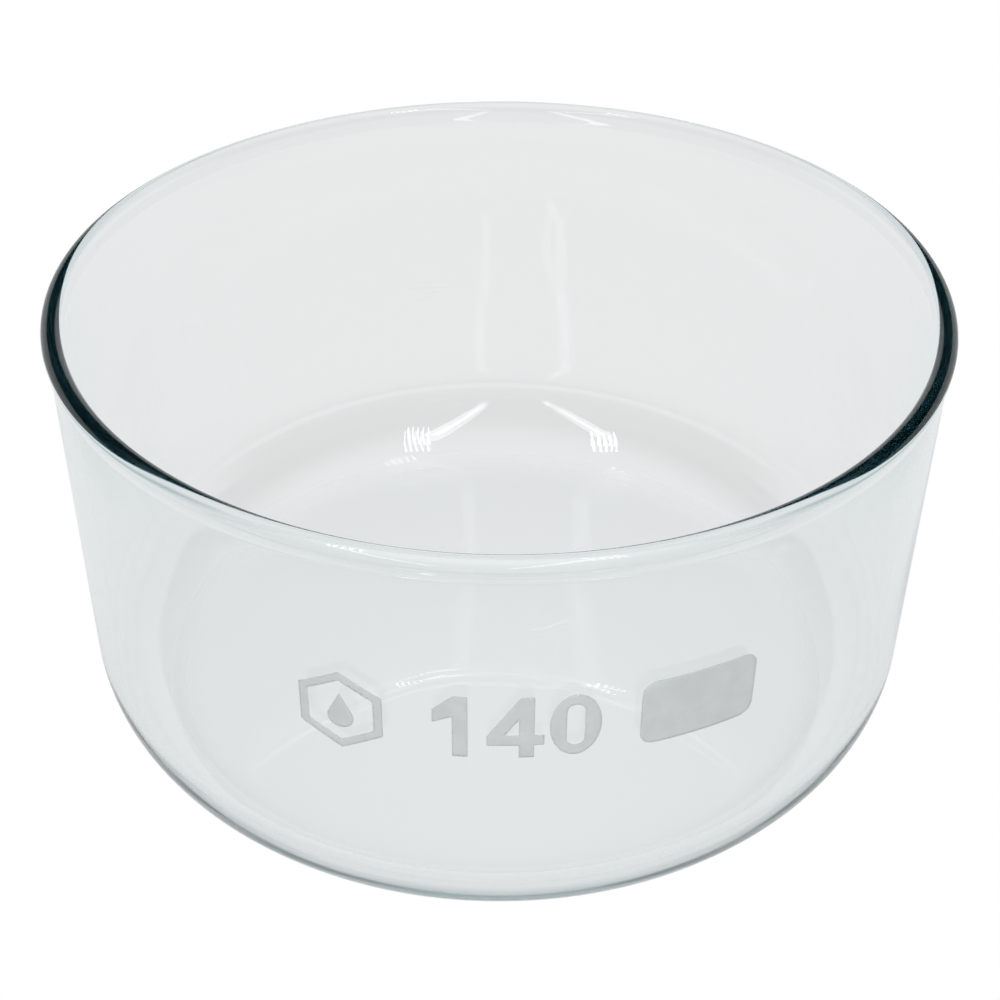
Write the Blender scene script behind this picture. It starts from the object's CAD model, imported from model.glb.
"""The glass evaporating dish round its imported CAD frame: glass, enamel marks, light table and camera."""

import math

import bpy
import numpy as np
from mathutils import Matrix, Vector, geometry, noise


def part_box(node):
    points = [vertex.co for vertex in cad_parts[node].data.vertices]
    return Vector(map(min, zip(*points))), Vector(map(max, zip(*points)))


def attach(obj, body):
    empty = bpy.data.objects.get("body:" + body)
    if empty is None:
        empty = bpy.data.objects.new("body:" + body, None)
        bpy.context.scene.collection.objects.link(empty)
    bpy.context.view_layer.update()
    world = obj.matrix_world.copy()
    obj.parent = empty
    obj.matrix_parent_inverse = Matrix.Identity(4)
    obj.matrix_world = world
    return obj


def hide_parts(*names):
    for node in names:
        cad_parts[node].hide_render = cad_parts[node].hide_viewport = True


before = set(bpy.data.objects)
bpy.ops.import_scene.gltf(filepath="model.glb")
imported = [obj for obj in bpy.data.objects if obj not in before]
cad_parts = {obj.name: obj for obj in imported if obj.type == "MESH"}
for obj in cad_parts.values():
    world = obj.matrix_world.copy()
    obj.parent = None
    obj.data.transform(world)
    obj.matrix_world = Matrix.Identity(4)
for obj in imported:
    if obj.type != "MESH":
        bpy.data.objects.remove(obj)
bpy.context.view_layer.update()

MM = 0.001
RIM_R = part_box("dish")[1].x
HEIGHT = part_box("dish")[1].z

# The vessel's profile, in metres
BEAD_R = 1.6 * MM
BEAD_MID = (RIM_R - BEAD_R, HEIGHT - BEAD_R)
WALL_T = 2.2 * MM
WALL_HIGH_R = RIM_R - 0.7 * MM
WALL_LOW_R = RIM_R - 1.8 * MM
SWELL_H = 2.4 * MM
SWELL_Z = BEAD_MID[1] - SWELL_H
HEEL_R = 17.5 * MM
HEEL_INNER_R = 15 * MM
BASE_T = 2.8 * MM
FOOT_IN_R = 40 * MM
UNDERSIDE_RISE = 0.5 * MM
AZIMUTHS = 500

# How the glass strays from a perfect lathe. A wave is its share of the depth, its turns round the
# dish, its phase, and how fast it winds up the wall.
RIM_SAG = 0.4 * MM
RIM_SAG_AT = 18
INNER_WAVE = 0.035 * MM
WAVES = ((0.45, 3, 1.1, 40), (0.3, 7, -0.6, -90), (0.15, 13, 2.3, 150), (0.1, 23, 0.4, 0))
WAVES_FROM_R = 30 * MM

# The press mark in the middle of the floor: grooves as points in millimetres, width and depth
MARK_REACH = 15 * MM
CRESCENT = (((7.6, 14.2), (8.7, 13.2), (9.2, 11.6), (8.9, 9.8), (8.0, 8.2)), 0.5 * MM, 0.2 * MM)
SLANT = (((6.2, 2.6), (8.6, 3.0), (10.9, 4.4), (12.8, 5.3)), 0.5 * MM, 0.17 * MM)
TAIL = (((10.2, 0.8), (10.1, -2.0), (9.9, -5.0)), 0.45 * MM, 0.12 * MM)

# Printed marks
MARKS = ("writing_field", "numeral_1", "numeral_4", "numeral_0", "hexagon_mark", "drop_mark")
COAT_OUT = 0.045 * MM
COAT_IN = 0.02 * MM
COAT_EDGE = 0.65
COAT_RIPPLE = 0.18
RIPPLES_PER_METRE = 900
OUTER_FACE = 0.03 * MM
PRINT_STEP = 0.12 * MM
PRINT_TOOTH = 0.14 * MM
SCREEN_PITCH = 0.6 * MM
FILL_STEP = 0.5 * MM
FILL_GAP = 0.6 * PRINT_STEP

# The foot's outer edge is scuffed from standing on benches: its reach from the middle and its height
WORN_REACH = (46 * MM, 58 * MM)
WORN_RISE = (2 * MM, 1.2 * MM)
WORN_ROUGHNESS = 0.32

# Glass and enamel
GLASS_IOR = 1.473
GLASS_TINT = (0.5, 0.68, 0.71)
GLASS_DENSITY = 38
SMUDGE = 0.05
ENAMEL_DARK = (0.575, 0.595, 0.6)
ENAMEL_PALE = (0.63, 0.655, 0.66)

# The table that the glass sees: its glow by radius, and a dark card lying on each side of the dish
CAMERA_TABLE_Z = -0.05 * MM
GLOW_TABLE_Z = -0.1 * MM
TABLE_R = 3
COVE_R = 4
SHEET_LEVELS = ((0, 0.92), (52 * MM, 0.91), (66 * MM, 0.79), (75 * MM, 0.81), (100 * MM, 0.86))
CARD = (0.45, 0.54, 0.55)
CARD_NEAR = (120 * MM, 160 * MM)
CARD_FAR = (225 * MM, 180 * MM)
CARD_BACK = (85 * MM, 45 * MM)
CARD_FRONT = (-120 * MM, -80 * MM)

# The room by elevation, and the pale paper that rises behind the dish and at its sides
DARK_WALL = (0.012, 0.034, 0.04)
ROOM = (
    (0, (0.28, 0.3, 0.3)),
    (6, (0.16, 0.18, 0.18)),
    (11, DARK_WALL),
    (42, DARK_WALL),
    (54, (0.48, 0.5, 0.5)),
    (68, (0.97, 1, 1)),
)
PAPER = (0.85, 0.86, 0.86)
PAPER_SIDES = (-0.3, 0.2)
PAPER_TOP = (0.4, 0.32)

# Lamps, placed as (x, y) over the ceiling's height above the table, with widths on the same scale
CEILING = 1.6
ROW_GLOW = 4
ROW_RIGHT = ((0.245, -0.29), (0.145, -2.3), 0.08)
ROW_LEFT = ((-0.515, -0.5), (-0.7, -2.8), 0.11)
LOUVRE_GLOW = 8
LOUVRES = 5
LOUVRE_RIGHT = (((0.17, -0.02), (0.25, -0.08)), ((0.33, -0.58), (0.48, -0.66)), 0.007)
LOUVRE_LEFT = (((-0.28, -0.12), (-0.41, -0.22)), ((-0.44, -0.55), (-0.65, -0.68)), 0.01)
FILL_SIZE = 1.2
FILL_POWER = 12
FILL_DISTANCE = 1.5
FILL_SIDE = Vector((0, -1, 0.9))

# Camera
AIM = Vector((0, 0, 40 * MM))
CAM_ELEVATION = 35.2
CAM_DISTANCE = 307.9 * MM
CAM_ROLL = 0.5
CAM_FOCAL = 1.856
SENSOR = 36
CAM_SHIFT = (0.0017, -0.0342)

# Sockets of a Mix node that mixes colours
MIX_FACTOR, MIX_A, MIX_B, MIX_RESULT = 0, 6, 7, 2


def smooth(t):
    """Smoothstep of a number or an array."""
    t = np.clip(t, 0, 1)
    return t * t * (3 - 2 * t)


def wall_r(z):
    """Radius of the wall's outer cone at height z."""
    return WALL_LOW_R + (WALL_HIGH_R - WALL_LOW_R) * (z - HEEL_R) / (SWELL_Z - HEEL_R)


# The glass


def arc(centre, radius, start, end, steps):
    """Points on an arc, with angles in degrees from the outward direction, without the first point."""
    angles = [math.radians(start + (end - start) * i / steps) for i in range(1, steps + 1)]
    return [(centre[0] + radius * math.cos(a), centre[1] + radius * math.sin(a)) for a in angles]


def straight(start, end, steps):
    """Evenly spaced points on a line, without the first one."""
    return [
        (start[0] + (end[0] - start[0]) * i / steps, start[1] + (end[1] - start[1]) * i / steps)
        for i in range(1, steps + 1)
    ]


def flank(side):
    """The upper wall's face as it swells into the bead: side is 1 outside and -1 inside, from low to high."""
    steps = 12
    wall_mid_r = WALL_HIGH_R - WALL_T / 2
    points = []
    for i in range(1, steps + 1):
        t = i / steps
        middle = wall_mid_r + (BEAD_MID[0] - wall_mid_r) * t
        half = WALL_T / 2 + (BEAD_R - WALL_T / 2) * smooth(t)
        points.append((middle + side * half, SWELL_Z + SWELL_H * t))
    return points


def underside():
    """From the middle of the underside out to the foot ring."""
    steps = 16
    return [
        (FOOT_IN_R * i / steps, UNDERSIDE_RISE * (1 - smooth(i / steps)))
        for i in range(1, steps + 1)
    ]


def outer_profile():
    """From the axis under the base to the top of the bead."""
    heel_mid = (WALL_LOW_R - HEEL_R, HEEL_R)
    points = underside()
    points += straight(points[-1], (heel_mid[0], 0), 3)
    points += arc(heel_mid, HEEL_R, -90, 0, 22)
    points += straight(points[-1], (WALL_HIGH_R, SWELL_Z), 14)
    points += flank(1)
    points += arc(BEAD_MID, BEAD_R, 0, 90, 14)
    return points


def inner_profile():
    """From just past the top of the bead down to the axis inside."""
    inner_mid = (WALL_LOW_R - WALL_T - HEEL_INNER_R, BASE_T + HEEL_INNER_R)
    inner_high = (WALL_HIGH_R - WALL_T, SWELL_Z)
    points = arc(BEAD_MID, BEAD_R, 90, 180, 14)
    points += reversed(flank(-1)[:-1])
    points += [inner_high]
    points += straight(inner_high, (inner_mid[0] + HEEL_INNER_R, inner_mid[1]), 16)
    points += arc(inner_mid, HEEL_INNER_R, 0, -90, 24)
    points += straight(points[-1], (MARK_REACH, BASE_T), 10)
    points += straight(points[-1], (0, BASE_T), 36)[:-1]
    return points


def inner_wave(x, y, z):
    """How far the pressed inner face strays inwards at each point: broad, shallow waves."""
    around = np.arctan2(x, -y)
    wave = sum(part * np.cos(turns * around + phase + wind * z) for part, turns, phase, wind in WAVES)
    reach = np.clip(np.hypot(x, y) / WAVES_FROM_R, 0, 1)
    return INNER_WAVE * wave * reach**2


def groove(x, y, points, width, depth):
    """A soft groove along a polyline on the floor of the dish."""
    near = np.full(x.shape, 1.0)
    for (ax, ay), (bx, by) in zip(points, points[1:]):
        dx, dy = (bx - ax) * MM, (by - ay) * MM
        t = np.clip(((x - ax * MM) * dx + (y - ay * MM) * dy) / (dx * dx + dy * dy), 0, 1)
        near = np.minimum(near, np.hypot(x - ax * MM - t * dx, y - ay * MM - t * dy))
    return depth * np.exp(-((near / width) ** 2))


def revolve(points):
    """Rings of vertices round the profile points, one row a ring, azimuth 0 at the front."""
    angles = np.arange(AZIMUTHS) * 2 * math.pi / AZIMUTHS
    r = np.array([p[0] for p in points])[:, None]
    z = np.array([p[1] for p in points])[:, None]
    return np.stack([r * np.sin(angles), -r * np.cos(angles), z + 0 * angles], axis=2)


def into_glass(points):
    """Unit normals of the inner profile, pointing into the glass."""
    along = np.gradient(np.array(points), axis=0)
    along /= np.linalg.norm(along, axis=1)[:, None]
    return np.stack([along[:, 1], -along[:, 0]], axis=1)


def shaped_inside(points):
    """The inner face's rings, with its waves and the press mark."""
    rings = revolve(points)
    x, y, z = rings[..., 0], rings[..., 1], rings[..., 2]
    into = into_glass(points)
    below_bead = smooth((BEAD_MID[1] - SWELL_H - z) / SWELL_H + 1)
    depth = (inner_wave(x, y, z) + INNER_WAVE) * below_bead
    on_floor = z < BASE_T + 0.01 * MM
    depth = depth + sum(groove(x, y, *mark) for mark in (CRESCENT, SLANT, TAIL)) * on_floor
    r = np.hypot(x, y) + 1e-12
    rings[..., 0] += depth * into[:, :1] * x / r
    rings[..., 1] += depth * into[:, :1] * y / r
    rings[..., 2] += depth * into[:, 1:]
    return rings


def sag_rim(rings):
    """Lowers the rim in two shallow hollows, fading to nothing half-way down the wall."""
    around = np.arctan2(rings[..., 0], -rings[..., 1])
    dip = RIM_SAG * (1 + np.cos(2 * (around - math.radians(RIM_SAG_AT))))
    rings[..., 2] -= dip * smooth((rings[..., 2] - 0.5 * HEIGHT) / (0.5 * HEIGHT))


def solid(name, co, faces, shade_smooth=True):
    mesh = bpy.data.meshes.new(name)
    mesh.from_pydata(co, [], faces)
    mesh.polygons.foreach_set("use_smooth", [shade_smooth] * len(mesh.polygons))
    mesh.update()
    piece = bpy.data.objects.new(name, mesh)
    bpy.context.scene.collection.objects.link(piece)
    return piece


def lathe(name):
    """The closed glass: outer and inner rings joined, closed at both ends on the axis."""
    rings = np.concatenate([revolve(outer_profile()), shaped_inside(inner_profile())])
    sag_rim(rings)
    count = len(rings)
    low_centre = (0, 0, UNDERSIDE_RISE)
    high_centre = (0, 0, float(rings[-1, :, 2].mean()))
    co = np.vstack([rings.reshape(-1, 3), low_centre, high_centre])
    here = np.arange(AZIMUTHS)
    there = (here + 1) % AZIMUTHS
    faces = []
    for i in range(count - 1):
        a, b = i * AZIMUTHS, (i + 1) * AZIMUTHS
        faces += np.stack([a + here, a + there, b + there, b + here], axis=1).tolist()
    low, high = count * AZIMUTHS, count * AZIMUTHS + 1
    last = (count - 1) * AZIMUTHS
    faces += [(low, int(j), int(i)) for i, j in zip(here, there)]
    faces += [(high, int(last + i), int(last + j)) for i, j in zip(here, there)]
    return solid(name, co.tolist(), faces)


# The printed marks


def merged_points(mesh):
    """The mesh's points without doubles, and each vertex's place among them."""
    keys, points, places = {}, [], []
    for v in mesh.vertices:
        key = tuple(round(c * 1e6) for c in v.co)
        if key not in keys:
            keys[key] = len(points)
            points.append(v.co.copy())
        places.append(keys[key])
    return points, places


def border(faces):
    """The edges that only one of the faces uses, in that face's direction."""
    edges = {}
    for face in faces:
        for a, b in zip(face, face[1:] + face[:1]):
            if edges.pop((b, a), None) is None:
                edges[(a, b)] = True
    return edges


def unrolled(p):
    """A point of the wall as (length round the wall, height)."""
    return math.atan2(p.x, -p.y) * RIM_R, p.z


def coat_loops(node):
    """Outlines of a CAD coat's outer face, unrolled."""
    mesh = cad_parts[node].data
    mesh.calc_loop_triangles()
    points, places = merged_points(mesh)

    def outside(i):
        p = points[i]
        return math.hypot(p.x, p.y) > wall_r(p.z) + OUTER_FACE

    faces = [[places[i] for i in tri.vertices] for tri in mesh.loop_triangles]
    follow = dict(border([f for f in faces if len(set(f)) == 3 and all(outside(i) for i in f)]).keys())
    loops = []
    while follow:
        loop, at = [], next(iter(follow))
        while at in follow:
            loop.append(at)
            at = follow.pop(at)
        loops.append([unrolled(points[i]) for i in loop])
    return loops


def resampled(loop):
    """The closed loop at even steps, with the fine saw-tooth of a printing screen."""
    p = np.array(loop)
    length = np.hypot(*(np.roll(p, -1, axis=0) - p).T)
    total = length.sum()
    steps = max(12, int(total / PRINT_STEP))
    at = np.arange(steps) * total / steps
    ends = np.concatenate([[0], np.cumsum(length)])
    closed = np.vstack([p, p[:1]])
    x, z = np.interp(at, ends, closed[:, 0]), np.interp(at, ends, closed[:, 1])
    dx, dz = np.roll(x, -1) - np.roll(x, 1), np.roll(z, -1) - np.roll(z, 1)
    norm = np.hypot(dx, dz) + 1e-12
    rising, falling = ((x + z) / SCREEN_PITCH) % 1, ((x - z) / SCREEN_PITCH) % 1
    tooth = np.abs(rising - 0.5) + np.abs(falling - 0.5) - 0.5
    return x + dz / norm * PRINT_TOOTH * tooth, z - dx / norm * PRINT_TOOTH * tooth


def inside_loops(x, z, loops):
    """Even-odd test of one point against all the outlines."""
    odd = False
    for lx, lz in loops:
        nx, nz = np.roll(lx, -1), np.roll(lz, -1)
        crossing = (lz > z) != (nz > z)
        safe = np.where(nz == lz, 1, nz - lz)
        odd ^= bool(np.count_nonzero(crossing & (x < (nx - lx) * (z - lz) / safe + lx)) % 2)
    return odd


def clear_of(x, z, loops, gap):
    return all(np.min(np.hypot(lx - x, lz - z)) > gap for lx, lz in loops)


def fill_points(loops):
    """Points inside the outlines on a staggered grid, so that the coat can undulate."""
    xs, zs = np.concatenate([l[0] for l in loops]), np.concatenate([l[1] for l in loops])
    found = []
    for j, z in enumerate(np.arange(zs.min(), zs.max(), FILL_STEP)):
        for x in np.arange(xs.min() + (j % 2) * FILL_STEP / 2, xs.max(), FILL_STEP):
            if inside_loops(x, z, loops) and clear_of(x, z, loops, FILL_GAP):
                found.append((x, z))
    return found


def meshed(loops):
    """Triangles between the outlines, as flat points and faces, and how many points lie on an outline."""
    flat = [Vector((a, b)) for lx, lz in loops for a, b in zip(lx, lz)]
    rim = len(flat)
    flat += [Vector(p) for p in fill_points(loops)]
    edges, start = [], 0
    for lx, _ in loops:
        n = len(lx)
        edges += [(start + i, start + (i + 1) % n) for i in range(n)]
        start += n
    in_mm = [v * 1000 for v in flat]
    points, _, faces, _, _, _ = geometry.delaunay_2d_cdt(in_mm, edges, [], 0, 1e-7)
    points = [v / 1000 for v in points]
    kept = []
    for face in faces:
        middle = sum((points[i] for i in face), Vector((0, 0))) / 3
        if inside_loops(middle.x, middle.y, loops):
            kept.append(tuple(face))
    return points, kept, rim


def on_wall(x, z, out):
    """The unrolled point back on the wall, out metres off its face."""
    r = wall_r(z) + out
    return r * math.sin(x / RIM_R), -r * math.cos(x / RIM_R), z


def enamel(node):
    """A printed coat over its CAD node: saw-toothed edge, uneven film, fired into the glass."""
    points, faces, rim = meshed([resampled(loop) for loop in coat_loops(node)])
    count = len(points)
    top = []
    for i, v in enumerate(points):
        ripple = noise.noise(Vector((v.x, v.y, 0.3)) * RIPPLES_PER_METRE)
        film = COAT_EDGE if i < rim else 1
        top.append(on_wall(v.x, v.y, COAT_OUT * film * (1 + COAT_RIPPLE * ripple)))
    under = [on_wall(v.x, v.y, -COAT_IN) for v in points]
    shell = faces + [tuple(i + count for i in reversed(face)) for face in faces]
    sides = [(b, a, a + count, b + count) for a, b in border(faces)]
    piece = solid(node + "_enamel", top + under, shell + sides)
    for polygon in piece.data.polygons[len(shell):]:
        polygon.use_smooth = False
    return piece


# Materials


def add_node(tree, kind, **inputs):
    made = tree.nodes.new(kind)
    for name, value in inputs.items():
        made.inputs[name].default_value = value
    return made


def calculated(tree, operation, *values):
    """The output of a Math node; a value is a number or another node's output."""
    made = tree.nodes.new("ShaderNodeMath")
    made.operation = operation
    for i, value in enumerate(values):
        if isinstance(value, (int, float)):
            made.inputs[i].default_value = value
        else:
            tree.links.new(value, made.inputs[i])
    return made.outputs[0]


def share(tree, value, ends):
    """A node's output running smoothly from 0 to 1 as value goes from the first end to the second."""
    made = tree.nodes.new("ShaderNodeMapRange")
    made.interpolation_type = "SMOOTHSTEP"
    made.inputs["From Min"].default_value = ends[0]
    made.inputs["From Max"].default_value = ends[1]
    tree.links.new(value, made.inputs["Value"])
    return made.outputs["Result"]


def distance_out(tree, place):
    """How far a point is from the object's origin."""
    reach = tree.nodes.new("ShaderNodeVectorMath")
    reach.operation = "LENGTH"
    tree.links.new(place, reach.inputs[0])
    return reach.outputs["Value"]


def axes(tree, place):
    """The outputs X, Y and Z of a point."""
    split = tree.nodes.new("ShaderNodeSeparateXYZ")
    tree.links.new(place, split.inputs[0])
    return split.outputs


def banded(tree, value, stops, kind="LINEAR"):
    """A colour by value, from stops of (place, colour)."""
    bands = tree.nodes.new("ShaderNodeValToRGB")
    ramp = bands.color_ramp
    ramp.interpolation = kind
    while len(ramp.elements) < len(stops):
        ramp.elements.new(0.5)
    for element, (position, _) in zip(ramp.elements, stops):
        element.position = position
    for element, (_, colour) in zip(ramp.elements, stops):
        element.color = (*colour, 1)
    tree.links.new(value, bands.inputs["Fac"])
    return bands.outputs["Color"]


def mixed(tree, factor, colour, other):
    """A colour that goes over to the other, a fixed one, by factor."""
    mix = tree.nodes.new("ShaderNodeMix")
    mix.data_type = "RGBA"
    mix.inputs[MIX_B].default_value = (*other, 1)
    tree.links.new(factor, mix.inputs[MIX_FACTOR])
    tree.links.new(colour, mix.inputs[MIX_A])
    return mix.outputs[MIX_RESULT]


def smudges(tree, place):
    """Faint patches of roughness from handling."""
    pattern = add_node(tree, "ShaderNodeTexNoise", Scale=45.0, Detail=4.0)
    patches = tree.nodes.new("ShaderNodeMapRange")
    patches.inputs["From Min"].default_value = 0.58
    patches.inputs["From Max"].default_value = 0.85
    patches.inputs["To Max"].default_value = SMUDGE
    tree.links.new(place, pattern.inputs["Vector"])
    tree.links.new(pattern.outputs["Fac"], patches.inputs["Value"])
    return patches.outputs["Result"]


def glass_material():
    """Clear borosilicate: faint smudges, a scuffed foot and a grey-teal depth."""
    material = bpy.data.materials.new("clear_glass")
    material.use_nodes = True
    tree = material.node_tree
    shader = tree.nodes["Principled BSDF"]
    shader.inputs["Base Color"].default_value = (1, 1, 1, 1)
    shader.inputs["Transmission Weight"].default_value = 1
    shader.inputs["IOR"].default_value = GLASS_IOR
    place = tree.nodes.new("ShaderNodeTexCoord").outputs["Object"]
    outer = share(tree, distance_out(tree, place), WORN_REACH)
    worn = calculated(tree, "MULTIPLY", outer, share(tree, axes(tree, place)["Z"], WORN_RISE))
    roughness = calculated(tree, "MULTIPLY_ADD", worn, WORN_ROUGHNESS, smudges(tree, place))
    tree.links.new(roughness, shader.inputs["Roughness"])
    depth = tree.nodes.new("ShaderNodeVolumeAbsorption")
    depth.inputs["Color"].default_value = (*GLASS_TINT, 1)
    depth.inputs["Density"].default_value = GLASS_DENSITY
    tree.links.new(depth.outputs["Volume"], tree.nodes["Material Output"].inputs["Volume"])
    return material


def enamel_material():
    """Matte grey fired ink: mottled colour and fine grain."""
    material = bpy.data.materials.new("grey_enamel")
    material.use_nodes = True
    tree = material.node_tree
    shader = tree.nodes["Principled BSDF"]
    shader.inputs["Roughness"].default_value = 0.62
    shader.inputs["Specular IOR Level"].default_value = 0.35
    place = tree.nodes.new("ShaderNodeTexCoord").outputs["Object"]
    mottle = add_node(tree, "ShaderNodeTexNoise", Scale=260.0, Detail=5.0, Roughness=0.6)
    grain = add_node(tree, "ShaderNodeTexNoise", Scale=2600.0, Detail=3.0)
    bump = add_node(tree, "ShaderNodeBump", Strength=0.25, Distance=0.03 * MM)
    tint = banded(tree, mottle.outputs["Fac"], ((0.3, ENAMEL_DARK), (0.7, ENAMEL_PALE)))
    tree.links.new(place, mottle.inputs["Vector"])
    tree.links.new(place, grain.inputs["Vector"])
    tree.links.new(tint, shader.inputs["Base Color"])
    tree.links.new(grain.outputs["Fac"], bump.inputs["Height"])
    tree.links.new(bump.outputs["Normal"], shader.inputs["Normal"])
    return material


def glow_material(name):
    """White light of strength 1."""
    material = bpy.data.materials.new(name)
    material.use_nodes = True
    tree = material.node_tree
    tree.nodes.remove(tree.nodes["Principled BSDF"])
    glow = add_node(tree, "ShaderNodeEmission", Color=(1, 1, 1, 1), Strength=1)
    tree.links.new(glow.outputs["Emission"], tree.nodes["Material Output"].inputs["Surface"])
    return material


def light_sheet(material):
    """Turns a glow into a sheet with the dish's soft shadow ring and a dark card on each side of it."""
    tree = material.node_tree
    place = tree.nodes.new("ShaderNodeTexCoord").outputs["Object"]
    reach = SHEET_LEVELS[-1][0]
    levels = [(radius / reach, (level, level, level)) for radius, level in SHEET_LEVELS]
    out = calculated(tree, "DIVIDE", distance_out(tree, place), reach)
    sheet = banded(tree, out, levels, "B_SPLINE")
    along = axes(tree, place)
    aside = calculated(tree, "ABSOLUTE", along["X"])
    card = share(tree, aside, CARD_NEAR)
    for value, ends in ((aside, CARD_FAR), (along["Y"], CARD_BACK), (along["Y"], CARD_FRONT)):
        card = calculated(tree, "MULTIPLY", card, share(tree, value, ends))
    tree.links.new(mixed(tree, card, sheet, CARD), tree.nodes["Emission"].inputs["Color"])


# The stage


def only_camera(obj, seen):
    """Either the camera alone sees a stage piece, or everything but the camera does."""
    obj.visible_camera = seen
    for kind in ("visible_diffuse", "visible_glossy", "visible_transmission", "visible_shadow"):
        setattr(obj, kind, not seen)


def table_disc(name, height, seen):
    """A glowing table top, for the camera or for everything else."""
    sides = 64
    turns = [2 * math.pi * i / sides for i in range(sides)]
    ring = [(TABLE_R * math.cos(t), TABLE_R * math.sin(t), height) for t in turns]
    disc = solid(name, ring, [tuple(range(sides))], False)
    disc.data.materials.append(glow_material(name))
    only_camera(disc, seen)
    return disc


def cove():
    """A white dome behind everything, for the camera only."""
    bpy.ops.mesh.primitive_uv_sphere_add(segments=64, ring_count=32, radius=COVE_R)
    dome = bpy.context.object
    dome.name = "cove"
    dome.data.materials.append(glow_material("cove"))
    only_camera(dome, True)


def studio():
    """Dark walls under a bright ceiling, with pale paper rising behind the dish."""
    world = bpy.data.worlds.new("studio")
    bpy.context.scene.world = world
    world.use_nodes = True
    tree = world.node_tree
    along = axes(tree, tree.nodes.new("ShaderNodeTexCoord").outputs["Generated"])
    stops = [(math.sin(math.radians(elevation)), colour) for elevation, colour in ROOM]
    room = banded(tree, along["Z"], stops)
    paper = calculated(
        tree, "MULTIPLY", share(tree, along["Y"], PAPER_SIDES), share(tree, along["Z"], PAPER_TOP)
    )
    tree.links.new(mixed(tree, paper, room, PAPER), tree.nodes["Background"].inputs["Color"])


def area_light(name, size, power):
    data = bpy.data.lights.new(name, "AREA")
    data.size = size
    data.energy = power
    made = bpy.data.objects.new(name, data)
    bpy.context.scene.collection.objects.link(made)
    return made


def ceiling_tube(name, start, end, width, glow):
    """A strip light on the ceiling, facing down."""
    a, b = Vector((*start, 1)) * CEILING, Vector((*end, 1)) * CEILING
    wide, length = width * CEILING, (b - a).length
    tube = area_light(name, wide, glow * math.pi * wide * length)
    tube.data.shape = "RECTANGLE"
    tube.data.size_y = length
    along = (b - a).normalized()
    down = Vector((0, 0, -1))
    turn = Matrix((along.cross(-down), along, -down)).transposed()
    tube.matrix_world = Matrix.Translation((a + b) / 2) @ turn.to_4x4()


def louvres(name, near, far, width):
    """A louvred fitting: near and far are the first and the last bar's ends."""
    for i in range(LOUVRES):
        t = i / (LOUVRES - 1)
        start, end = [Vector(first).lerp(Vector(last), t) for first, last in (near, far)]
        ceiling_tube(f"{name}_{i + 1}", start, end, width, LOUVRE_GLOW)


def ceiling():
    """Two rows of tubes running away behind the camera, each ending in a louvred fitting overhead."""
    ceiling_tube("row_right", *ROW_RIGHT, ROW_GLOW)
    ceiling_tube("row_left", *ROW_LEFT, ROW_GLOW)
    louvres("louvre_right", *LOUVRE_RIGHT)
    louvres("louvre_left", *LOUVRE_LEFT)


def fill_light():
    """A broad soft light over the camera that evens out the print and leaves no reflection."""
    fill = area_light("fill", FILL_SIZE, FILL_POWER)
    away = FILL_SIDE.normalized()
    turn = away.to_track_quat("Z", "Y").to_matrix()
    fill.matrix_world = Matrix.Translation(AIM + away * FILL_DISTANCE) @ turn.to_4x4()
    fill.visible_glossy = False
    fill.visible_transmission = False


def camera():
    e = math.radians(CAM_ELEVATION)
    back = Vector((0, -math.cos(e), math.sin(e)))
    data = bpy.data.cameras.new("camera")
    data.sensor_width = SENSOR
    data.lens = CAM_FOCAL * SENSOR
    data.shift_x, data.shift_y = CAM_SHIFT
    data.clip_start = 0.01
    made = bpy.data.objects.new("camera", data)
    bpy.context.scene.collection.objects.link(made)
    turn = (-back).to_track_quat("-Z", "Y").to_matrix()
    turn = turn @ Matrix.Rotation(math.radians(CAM_ROLL), 3, "Z")
    made.matrix_world = Matrix.Translation(AIM + back * CAM_DISTANCE) @ turn.to_4x4()
    bpy.context.scene.camera = made


def rendering():
    """Enough bounces for light that runs round inside the rim and the heel."""
    scene = bpy.context.scene
    scene.view_settings.view_transform = "Standard"
    scene.cycles.transmission_bounces = 200
    scene.cycles.glossy_bounces = 200
    scene.cycles.max_bounces = 200
    scene.cycles.use_denoising = True


dish = lathe("dish_glass")
dish.data.materials.append(glass_material())
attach(dish, "root")
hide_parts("dish")

ink = enamel_material()
for mark in MARKS:
    piece = enamel(mark)
    piece.data.materials.append(ink)
    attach(piece, "root")
    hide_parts(mark)

table_disc("light_table", CAMERA_TABLE_Z, True)
glowing = table_disc("table_glow", GLOW_TABLE_Z, False)
light_sheet(glowing.data.materials[0])
cove()
studio()
ceiling()
fill_light()
camera()
rendering()
